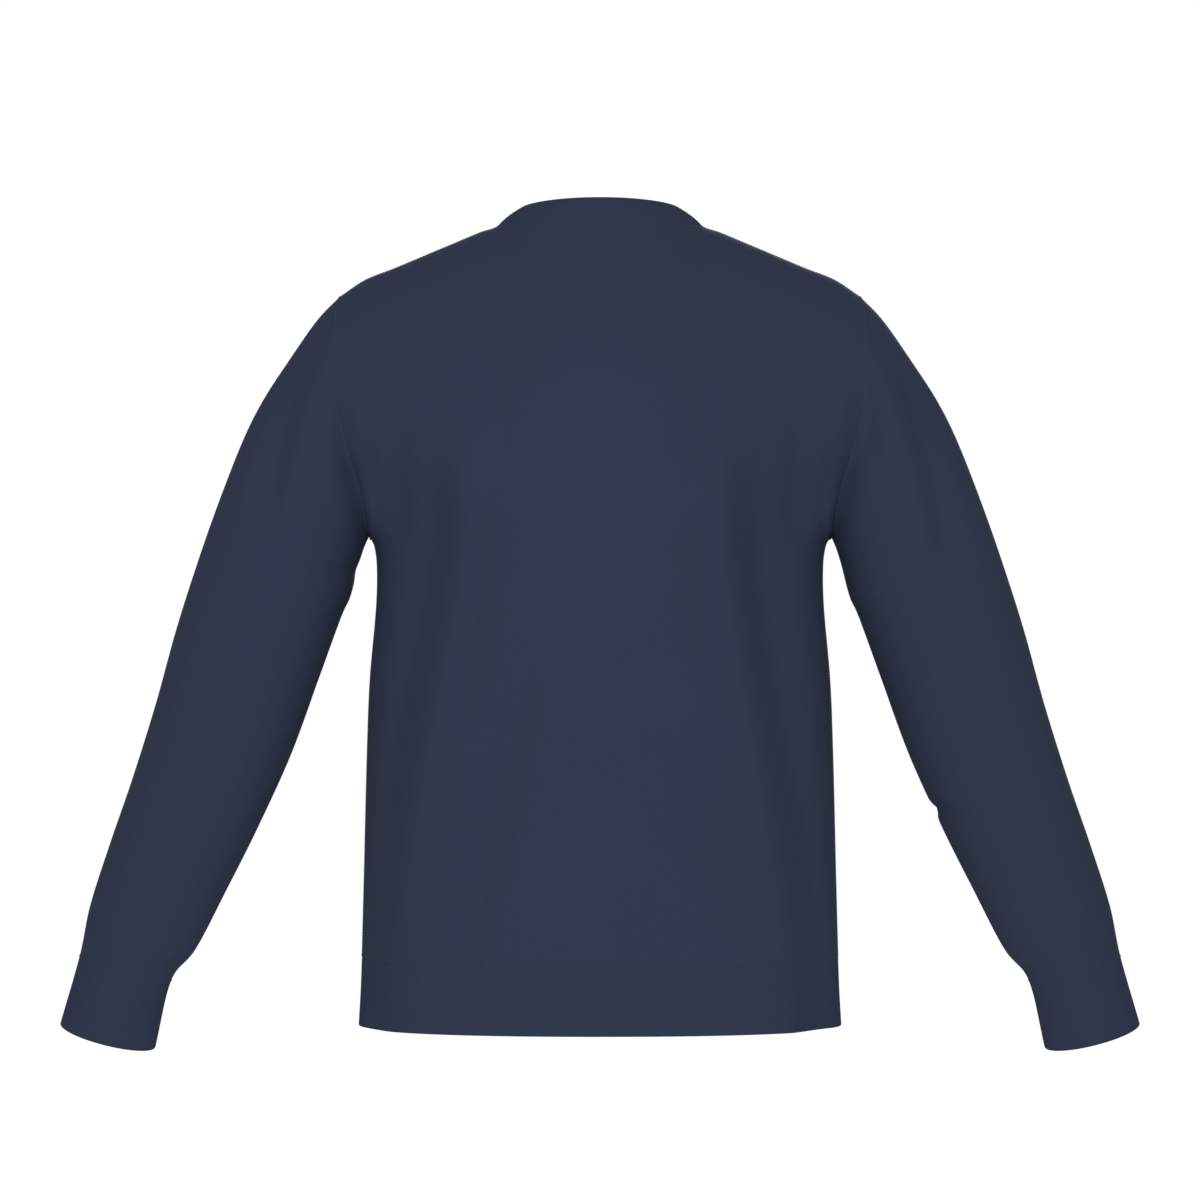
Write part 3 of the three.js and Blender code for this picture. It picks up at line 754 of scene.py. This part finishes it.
def ribbed(rings, outward):
    """A band from its rings, with upright ribs pressed in, and its knit coordinates, in ribs."""
    ribs = rib_count(rings[0])
    grid = tucked(np.array([even_ring(ring, ribs * POINTS_PER_RIB) for ring in rings]), outward)
    columns = grid.shape[1]
    turn = np.arange(columns) / columns
    normals = outward_normals(grid, True, outward)
    wave = (1 - np.cos(2 * math.pi * turn * ribs)) / 2 * RIB_DEPTH
    cloth_x = np.arange(columns + 1) / columns * ribs * RIB_PITCH
    down = lengths(grid.transpose(1, 0, 2)).T
    down = np.concatenate([down, down[:, :1]], axis=1)
    cloth = np.stack([np.broadcast_to(cloth_x, down.shape), -down], axis=-1)
    return grid - normals * wave[None, :, None], cloth, outward


def around_garment(quarter):
    """A ring from points of a quarter, from the middle of the back, by +X and the front."""
    turns = np.linspace(0, 1, QUARTER_STEPS)
    back, front = quarter(turns, "back"), quarter(turns, "front")
    half = np.concatenate([back, front[-2::-1]])
    return np.concatenate([half, (half * MIRROR)[-2:0:-1]])


def neck_ring():
    """The neckline seam all the way round."""
    def quarter(turn, face):
        x, z = neck_line(turn, face)
        y = torso_depth(x, z, face)
        y[-1] = SHOULDER_Y
        return np.stack([x, y, z], axis=-1)

    return around_garment(quarter)


def rim_ring():
    """The collar's free edge all the way round."""
    def quarter(turn, face):
        angle = np.radians(90 * turn)
        y, z = RIM[face]
        rise = np.cos(angle)
        x = RIM["half_width"] * np.sin(angle)
        return np.stack([x, lerp(SHOULDER_Y, y, rise), lerp(RIM["side_z"], z, rise)], axis=-1)

    return around_garment(quarter)


def hem_ring(z):
    """A level ring of the hem band before any folds."""
    def quarter(turn, face):
        heights = np.full_like(turn, z)
        x = section_x(turn, heights)
        return np.stack([x, torso_depth(x, heights, face), heights], axis=-1)

    return around_garment(quarter)


def collar_grid():
    seam, rim = neck_ring(), rim_ring()
    lean = np.stack([seam[:, 0], seam[:, 1] - SHOULDER_Y, np.full(len(seam), COLLAR_RISE)], axis=-1)
    lean /= np.linalg.norm(lean, axis=-1, keepdims=True)
    rings = []
    for k in range(COLLAR_ROWS + 1):
        t = k / COLLAR_ROWS
        rings.append(lerp(seam, rim, t) + lean * COLLAR_BULGE * 4 * t * (1 - t))
    return ribbed(rings, OUT_OF_BAND_UP)


def hem_rings():
    """The hem band's rings from its seam down, with the panels' folds running into them."""
    rings = np.array([hem_ring(z) for z in np.linspace(HEM_SEAM_Z, HEM_EDGE_Z, HEM_ROWS + 1)])
    normals = outward_normals(rings, True, -OUT_OF_BAND_UP)
    x, y, z = (rings[..., k] for k in range(3))
    depth = np.where(y > 0, fold_depth(BACK_FOLDS, x, z), fold_depth(FRONT_FOLDS, x, z))
    lost = np.where(y > 0, step_share(BACK_STEPS, x, z), step_share(FRONT_STEPS, x, z))
    around = lengths(rings)
    to_side = np.minimum(*(np.abs(around - around[:, k:k + 1])
                           for k in (np.argmax(x[0]), np.argmin(x[0]))))
    rings = rings - normals * (depth * smooth(to_side / SIDE_MARGIN))[..., None]
    return rings - lost[..., None] * rings * np.array([0.0, 1.0, 0.0])


def hem_grid():
    return ribbed(hem_rings(), -OUT_OF_BAND_UP)


def cuff_grid(side):
    places = np.linspace(CUFF_SEAM_SECTION, CUFF_EDGE_SECTION, CUFF_ROWS + 1)
    rings, _ = sleeve_rings(places, CUFF_SIDES)
    sign = 1 if side == "left" else -1
    return ribbed(rings * np.array([sign, 1.0, 1.0]), OUT_OF_SLEEVE * sign)


# ---- Linking -----------------------------------------------------------------
def seam_lines():
    """Every seam's line on the outside of the garment, in millimetres."""
    armhole = armhole_points(np.linspace(0, 360, ARMHOLE_STEPS + 1) % 360)
    armhole = armhole + armhole_crease(armhole, np.zeros(ARMHOLE_STEPS + 1))
    shoulder_x = np.linspace(NECK_HALF_WIDTH, SHOULDER_LINE["x"][-1], SHOULDER_STEPS)
    shoulder_z = through(SHOULDER_LINE["x"], SHOULDER_LINE["z"], shoulder_x)
    shoulder = np.stack([shoulder_x, np.full(SHOULDER_STEPS, SHOULDER_Y), shoulder_z], axis=-1)
    side_z = np.linspace(*SIDE_SEAM_Z, SIDE_STEPS)
    side_x = through(TORSO_WIDTH["z"], TORSO_WIDTH["x"], side_z)
    side = np.stack([side_x, np.zeros(SIDE_STEPS), side_z], axis=-1)
    cuff, _ = sleeve_rings(np.array([CUFF_SEAM_SECTION]), CUFF_SIDES)
    lines = []
    for line in (armhole, shoulder, side, np.concatenate([cuff[0], cuff[0][:1]])):
        lines += [line, line * MIRROR]
    for ring in (neck_ring(), hem_rings()[0]):
        lines.append(np.concatenate([ring, ring[:1]]))
    return lines


def stitch_nodes(material, sizes):
    """A node tree that sets small stitches along curves. sizes holds its inputs' names and
    defaults: the spacing, and the length and width of one stitch."""
    tree = bpy.data.node_groups.new("Linking stitches", "GeometryNodeTree")
    new_socket = tree.interface.new_socket
    new_socket("Geometry", in_out="INPUT", socket_type="NodeSocketGeometry")
    for name, size in sizes.items():
        new_socket(name, in_out="INPUT", socket_type="NodeSocketFloat").default_value = size
    new_socket("Geometry", in_out="OUTPUT", socket_type="NodeSocketGeometry")
    add = tree.nodes.new
    link = tree.links.new
    inputs, outputs = add("NodeGroupInput"), add("NodeGroupOutput")
    points = add("GeometryNodeCurveToPoints")
    points.mode = "LENGTH"
    link(inputs.outputs["Geometry"], points.inputs["Curve"])
    link(inputs.outputs["Spacing"], points.inputs["Length"])
    bead = add("GeometryNodeMeshUVSphere")
    bead.inputs["Segments"].default_value = BEAD_SEGMENTS
    bead.inputs["Rings"].default_value = BEAD_RINGS
    bead.inputs["Radius"].default_value = 0.5
    size = add("ShaderNodeCombineXYZ")
    link(inputs.outputs["Width"], size.inputs["X"])
    link(inputs.outputs["Width"], size.inputs["Y"])
    link(inputs.outputs["Length"], size.inputs["Z"])
    place = add("GeometryNodeInstanceOnPoints")
    link(points.outputs["Points"], place.inputs["Points"])
    link(points.outputs["Rotation"], place.inputs["Rotation"])
    link(bead.outputs["Mesh"], place.inputs["Instance"])
    link(size.outputs["Vector"], place.inputs["Scale"])
    real = add("GeometryNodeRealizeInstances")
    paint = add("GeometryNodeSetMaterial")
    paint.inputs["Material"].default_value = material
    link(place.outputs["Instances"], real.inputs["Geometry"])
    link(real.outputs["Geometry"], paint.inputs["Geometry"])
    link(paint.outputs["Geometry"], outputs.inputs["Geometry"])
    return tree


def stitched_object(name, lines, material, settings):
    """Stitches along lines, realised as a plain mesh."""
    curve = bpy.data.curves.new(name + "_path", "CURVE")
    curve.dimensions = "3D"
    for line in lines:
        spline = curve.splines.new("POLY")
        spline.points.add(len(line) - 1)
        spline.points.foreach_set("co", np.column_stack([line * MM, np.ones(len(line))]).ravel())
    path = bpy.data.objects.new(name + "_path", curve)
    bpy.context.scene.collection.objects.link(path)
    sizes = {
        "Spacing": settings.stitch_spacing,
        "Length": settings.stitch_length,
        "Width": settings.stitch_width,
    }
    tree = stitch_nodes(material, sizes)
    modifier = path.modifiers.new("Stitches", "NODES")
    modifier.node_group = tree
    identifiers = {item.name: item.identifier for item in tree.interface.items_tree
                   if item.in_out == "INPUT"}
    for key, size in sizes.items():
        modifier[identifiers[key]] = size
    evaluated = path.evaluated_get(bpy.context.evaluated_depsgraph_get())
    mesh = bpy.data.meshes.new_from_object(evaluated)
    mesh.name = name
    path.modifiers.remove(modifier)
    bpy.data.objects.remove(path)
    piece = bpy.data.objects.new(name, mesh)
    bpy.context.scene.collection.objects.link(piece)
    mesh.shade_smooth()
    return piece


# ---- Stage -------------------------------------------------------------------
def aim_camera(stage):
    """A camera behind the garment, level with its middle."""
    camera = bpy.data.cameras.new("Camera")
    camera.lens = camera.sensor_width * stage.camera_distance / stage.field
    camera.clip_end = CLIP_END
    rig = bpy.data.objects.new("Camera", camera)
    rig.location = (0, stage.camera_distance, stage.camera_height)
    rig.rotation_euler = (math.pi / 2, 0, math.pi)
    bpy.context.scene.collection.objects.link(rig)
    bpy.context.scene.camera = rig


def light_surroundings(stage):
    """White surroundings that light the garment more weakly than they look."""
    world = bpy.data.worlds.new("Surroundings")
    bpy.context.scene.world = world
    shader = Shader(world)
    paths = shader.named("ShaderNodeLightPath")
    seen = paths["Is Camera Ray"].larger(paths["Is Glossy Ray"])
    seen = seen.larger(paths["Is Transmission Ray"])
    strength = seen * (1 - stage.ambient) + stage.ambient
    white = shader.node("ShaderNodeBackground", None, Color=WHITE, Strength=strength)[0]
    shader.node("ShaderNodeOutputWorld", None, white)


def lay_floor(stage):
    """A pale round floor that keeps the garment's shadow and fades to white at its rim."""
    turns = np.linspace(0, 2 * math.pi, FLOOR_SIDES + 1)[:-1]
    rim = [(FLOOR_RADIUS * math.cos(t), FLOOR_RADIUS * math.sin(t), stage.floor_z) for t in turns]
    mesh = bpy.data.meshes.new("Floor")
    mesh.from_pydata(rim, [], [tuple(range(len(rim)))])
    floor = bpy.data.objects.new("Floor", mesh)
    bpy.context.scene.collection.objects.link(floor)
    shader = Shader(bpy.data.materials.new("pale_floor"))
    place = shader.named("ShaderNodeTexCoord")["Object"]
    x, y, _ = shader.node("ShaderNodeSeparateXYZ", None, place)
    far = (x * x + y * y).power(0.5) / FLOOR_RADIUS
    fade = shader.node("ShaderNodeMapRange", {"interpolation_type": "SMOOTHSTEP"}, far,
                       *FLOOR_FADE, FLOOR_WHITENESS, 1.0)[0]
    camera = shader.named("ShaderNodeLightPath")["Is Camera Ray"]
    pale = shader.node("ShaderNodeBsdfPrincipled", None,
                       Base_Color=FLOOR_COLOUR, Roughness=FLOOR_ROUGHNESS)[0]
    white = shader.node("ShaderNodeEmission", None, Color=WHITE, Strength=1.0)[0]
    surface = shader.node("ShaderNodeMixShader", None, camera * fade, pale, white)[0]
    mesh.materials.append(shader.surface(surface))


def hang_softboxes(stage):
    """Large soft lights on the camera's side and, weaker, on the other sides."""
    middle = Vector((0, 0, stage.camera_height))
    for name, place, size, share in SOFTBOXES:
        lamp = bpy.data.lights.new(name, "AREA")
        lamp.shape = "DISK"
        lamp.size = size
        position = Vector(place)
        lamp.energy = stage.key * share * (position - middle).length_squared
        rig = bpy.data.objects.new(name, lamp)
        rig.location = position
        rig.rotation_euler = (middle - position).to_track_quat("-Z", "Y").to_euler()
        bpy.context.scene.collection.objects.link(rig)


# ---- Settings ----------------------------------------------------------------
class SWEATER_PG_knit(bpy.types.PropertyGroup):
    colour: bpy.props.FloatVectorProperty(
        name="Yarn colour", description="Colour of the yarn as it is written",
        subtype="COLOR_GAMMA", size=3, min=0, max=1, default=(0.203, 0.234, 0.320))
    rib_colour: bpy.props.FloatVectorProperty(
        name="Rib colour", description="Colour of the ribbed bands as it is written",
        subtype="COLOR_GAMMA", size=3, min=0, max=1, default=(0.200, 0.231, 0.316))
    wale: bpy.props.FloatProperty(
        name="Wale", description="Width of one column of stitches", unit="LENGTH", default=0.0018)
    course: bpy.props.FloatProperty(
        name="Course", description="Height of one row of stitches", unit="LENGTH", default=0.0014)
    wall: bpy.props.FloatProperty(
        name="Cloth thickness", description="Thickness of the plain knit", unit="LENGTH",
        default=0.0014)
    rib_wall: bpy.props.FloatProperty(
        name="Rib thickness", description="Thickness of the ribbed bands", unit="LENGTH",
        default=0.0024)
    relief: bpy.props.FloatProperty(
        name="Relief", description="How strongly the stitches stand out", min=0, max=1, default=0.5)
    sheen: bpy.props.FloatProperty(
        name="Sheen", description="Bloom of loose fibres on the cloth", min=0, max=1, default=0.0)


class SWEATER_PG_seams(bpy.types.PropertyGroup):
    stitch_spacing: bpy.props.FloatProperty(
        name="Stitch spacing", description="Distance between linking stitches", unit="LENGTH",
        default=0.0026)
    stitch_length: bpy.props.FloatProperty(
        name="Stitch length", description="Length of one linking stitch", unit="LENGTH",
        default=0.0022)
    stitch_width: bpy.props.FloatProperty(
        name="Stitch width", description="Width of one linking stitch", unit="LENGTH",
        default=0.0010)


class SWEATER_PG_stage(bpy.types.PropertyGroup):
    camera_distance: bpy.props.FloatProperty(
        name="Camera distance", description="From the middle of the garment", unit="LENGTH",
        default=4.2)
    camera_height: bpy.props.FloatProperty(
        name="Camera height", description="Relative to the high shoulder points", unit="LENGTH",
        default=-0.318)
    field: bpy.props.FloatProperty(
        name="Field", description="Width that the camera sees at the garment", unit="LENGTH",
        default=1.02)
    floor_z: bpy.props.FloatProperty(
        name="Floor height", description="The floor under a standing wearer", unit="LENGTH",
        default=-1.45)
    key: bpy.props.FloatProperty(
        name="Key light", description="Strength of the large soft lights", min=0, default=1.0)
    ambient: bpy.props.FloatProperty(
        name="Ambient light", description="Strength of the light from all round", min=0, default=0.24)


# ---- Operators ---------------------------------------------------------------
class SWEATER_OT_panels(bpy.types.Operator):
    """Knit the front and back panels"""

    bl_idname = "sweater.panels"
    bl_label = "Knit panels"

    def execute(self, context):
        knit = context.scene.sweater_knit
        material = knit_material("navy_plain_knit", linear(knit.colour), knit)
        for face in ("back", "front"):
            grid, cloth, outward = panel_grid(face)
            piece = wall_object(face + "_panel", grid, cloth, False, outward, knit.wall / MM)
            finish_piece(piece, face, material, cloth, flat_area(grid, False))
        return {"FINISHED"}


class SWEATER_OT_sleeves(bpy.types.Operator):
    """Knit the two set-in sleeves"""

    bl_idname = "sweater.sleeves"
    bl_label = "Knit sleeves"

    def execute(self, context):
        knit = context.scene.sweater_knit
        material = knit_material("navy_sleeve_knit", linear(knit.colour), knit)
        for side in ("left", "right"):
            grid, cloth, outward = sleeve_grid(side)
            name = "sleeve_" + side
            piece = wall_object(name + "_knit", grid, cloth, True, outward, knit.wall / MM)
            finish_piece(piece, name, material, cloth, flat_area(grid, True))
        return {"FINISHED"}


class SWEATER_OT_ribs(bpy.types.Operator):
    """Knit the ribbed collar, hem and cuffs"""

    bl_idname = "sweater.ribs"
    bl_label = "Knit ribs"

    def execute(self, context):
        knit = context.scene.sweater_knit
        material = knit_material("navy_rib_knit", linear(knit.rib_colour), knit)
        bands = {
            "collar_rib": collar_grid(),
            "hem_rib": hem_grid(),
            "cuff_left": cuff_grid("left"),
            "cuff_right": cuff_grid("right"),
        }
        for node, (grid, cloth, outward) in bands.items():
            piece = wall_object(node + "_knit", grid, cloth, True, outward, knit.rib_wall / MM, True)
            finish_piece(piece, node, material, cloth, None)
        return {"FINISHED"}


class SWEATER_OT_seams(bpy.types.Operator):
    """Link the pieces with small stitches along every seam"""

    bl_idname = "sweater.seams"
    bl_label = "Link seams"

    def execute(self, context):
        scene = context.scene
        # The linking yarn's colour is lightened as painted light, to offset the shade along the seams.
        yarn = [YARN_PAINTED_LIGHT * channel for channel in linear(scene.sweater_knit.rib_colour)]
        material = thread_material("navy_linking_yarn_painted_light", yarn)
        piece = stitched_object("linking_stitches", seam_lines(), material, scene.sweater_seams)
        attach(piece, "root")
        return {"FINISHED"}


class SWEATER_OT_stage(bpy.types.Operator):
    """Set the camera, the soft lights, the white surroundings and the pale floor"""

    bl_idname = "sweater.stage"
    bl_label = "Set stage"

    def execute(self, context):
        stage = context.scene.sweater_stage
        context.scene.view_settings.view_transform = "Standard"
        aim_camera(stage)
        light_surroundings(stage)
        lay_floor(stage)
        hang_softboxes(stage)
        return {"FINISHED"}


class SWEATER_PT_panel(bpy.types.Panel):
    bl_idname = "SWEATER_PT_panel"
    bl_label = "Crewneck sweater"
    bl_space_type = "VIEW_3D"
    bl_region_type = "UI"
    bl_category = "Sweater"

    def draw(self, context):
        for settings in (context.scene.sweater_knit, context.scene.sweater_seams,
                         context.scene.sweater_stage):
            box = self.layout.box()
            for name in settings.__annotations__:
                box.prop(settings, name)
        for operator in OPERATORS:
            self.layout.operator(operator.bl_idname)


OPERATORS = (
    SWEATER_OT_panels,
    SWEATER_OT_sleeves,
    SWEATER_OT_ribs,
    SWEATER_OT_seams,
    SWEATER_OT_stage,
)
GROUPS = {
    "sweater_knit": SWEATER_PG_knit,
    "sweater_seams": SWEATER_PG_seams,
    "sweater_stage": SWEATER_PG_stage,
}


def register():
    for group in GROUPS.values():
        bpy.utils.register_class(group)
    for operator in OPERATORS:
        bpy.utils.register_class(operator)
    bpy.utils.register_class(SWEATER_PT_panel)
    for name, group in GROUPS.items():
        setattr(bpy.types.Scene, name, bpy.props.PointerProperty(type=group))


def unregister():
    for name in GROUPS:
        delattr(bpy.types.Scene, name)
    bpy.utils.unregister_class(SWEATER_PT_panel)
    for kind in (*reversed(OPERATORS), *reversed(GROUPS.values())):
        bpy.utils.unregister_class(kind)


def main():
    register()
    bpy.ops.sweater.panels()
    bpy.ops.sweater.sleeves()
    bpy.ops.sweater.ribs()
    bpy.ops.sweater.seams()
    bpy.ops.sweater.stage()


if __name__ == "__main__":
    main()
